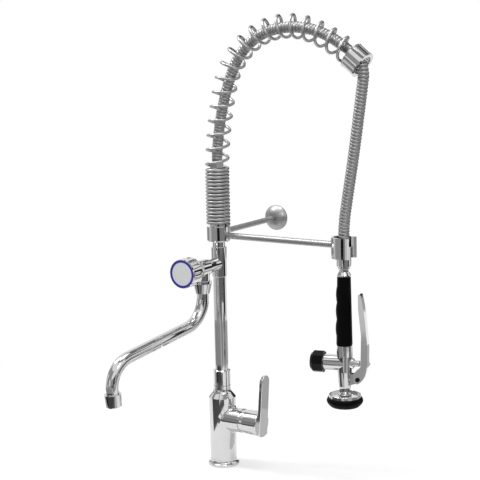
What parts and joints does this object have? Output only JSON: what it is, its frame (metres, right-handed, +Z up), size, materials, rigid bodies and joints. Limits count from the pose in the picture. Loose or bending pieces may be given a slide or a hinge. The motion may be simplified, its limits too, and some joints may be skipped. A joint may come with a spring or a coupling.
{
  "type": "kitchen faucet",
  "caption": "Deck-mounted commercial pre-rinse kitchen faucet with side-lever mixer, sprung hose arch, hand sprayer in a holder arm and an add-on swing spout with its own tap.",
  "frame": {"origin": "centre of the mixer's base on the deck surface", "axes": "+Z up along the riser, +X along the holder arm from the riser to the sprayer, +Y to the wall behind"},
  "size_m": [0.3445, 0.4561, 0.7731],
  "materials": {
    "chrome": "polished",
    "spring_steel": "bright wire",
    "hose_steel": "satin",
    "steel": "satin",
    "brass": "machined",
    "black_rubber": "matt",
    "black_plastic": "satin",
    "seal_rubber": "matt",
    "white_plastic": "satin",
    "index_plate": "gloss",
    "blue_ring": "gloss",
    "cartridge_plastic": "satin",
    "grey_plastic": "satin"
  },
  "bodies": {
    "base": {"mixer_body": "chrome", "base_ring": "chrome", "base_gasket": "seal_rubber", "mixer_cartridge": "cartridge_plastic", "cartridge_nut": "brass", "cartridge_cap": "chrome", "riser_coupling": "chrome", "riser_tube": "chrome", "upper_riser": "chrome", "tee_body": "chrome", "tap_body": "chrome", "tap_headwork": "brass", "spout_nut": "chrome", "spring_collar": "chrome", "collar_screws": "steel", "holder_arm": "chrome", "holder_clip": "chrome", "wall_rod": "chrome", "wall_flange": "chrome", "arch_spring": "spring_steel", "spring_cap": "chrome", "arch_hose": "hose_steel", "drop_hose": "hose_steel", "hose_nut": "chrome", "hose_ferrule": "chrome"},
    "mixer_rotor": {"cartridge_rotor": "cartridge_plastic", "stem_pin": "steel"},
    "mixer_handle": {"cartridge_stem": "brass", "mixer_lever": "chrome", "lever_screw": "steel"},
    "tap_handle": {"tap_spindle": "brass", "tap_knob": "chrome", "knob_disc": "index_plate", "knob_ring": "blue_ring", "knob_screw": "steel"},
    "spout": {"spout_tube": "chrome", "spout_seal": "seal_rubber", "aerator_housing": "chrome", "aerator_insert": "white_plastic"},
    "sprayer": {"handle_tube": "chrome", "grip": "black_rubber", "spray_body": "chrome", "valve_bush": "brass", "valve_cap": "black_plastic", "pivot_pin": "steel", "spray_plate": "chrome", "bumper_ring": "black_rubber", "spray_nozzle": "grey_plastic"},
    "spray_valve": {"valve_stem": "chrome", "valve_washer": "seal_rubber"},
    "trigger": {"squeeze_lever": "chrome", "adjuster_screw": "steel", "adjuster_nut": "steel"}
  },
  "joints": [
    {"name": "mixer_turn", "type": "hinge", "parent": "base", "child": "mixer_rotor", "pos_m": [0.0445, 0, 0.083], "axis": [1, 0, 0], "range_deg": [-45, 45]},
    {"name": "mixer_lift", "type": "hinge", "parent": "mixer_rotor", "child": "mixer_handle", "pos_m": [0.0445, 0, 0.083], "axis": [0, 1, 0], "range_deg": [0, 20]},
    {"name": "tap_turn", "type": "hinge", "parent": "base", "child": "tap_handle", "pos_m": [0, -0.09, 0.355], "axis": [0, -1, 0], "range_deg": [0, 90]},
    {"name": "spout_swing", "type": "hinge", "parent": "base", "child": "spout", "pos_m": [0, -0.052, 0.33], "axis": [0, 0, 1], "range_deg": [-130, 90]},
    {"name": "sprayer_swivel", "type": "hinge", "parent": "base", "child": "sprayer", "pos_m": [0.241, 0, 0.378], "axis": [0, 0, 1], "continuous": true},
    {"name": "trigger_squeeze", "type": "hinge", "parent": "sprayer", "child": "trigger", "pos_m": [0.26322, 0.00595, 0.1852], "axis": [0.2588, -0.9659, 0], "range_deg": [0, 5], "stiffness_Nm_per_rad": 3, "springref_deg": -4.58},
    {"name": "valve_slide", "type": "slide", "parent": "sprayer", "child": "spray_valve", "axis": [-0.9659, -0.2588, 0], "range_m": [0, 0.0024], "stiffness_N_per_m": 600, "springref_m": -0.001}
  ],
  "couplings": [
    {"joint": "valve_slide", "follows": "trigger_squeeze", "m_per_rad": 0.0256}
  ]
}
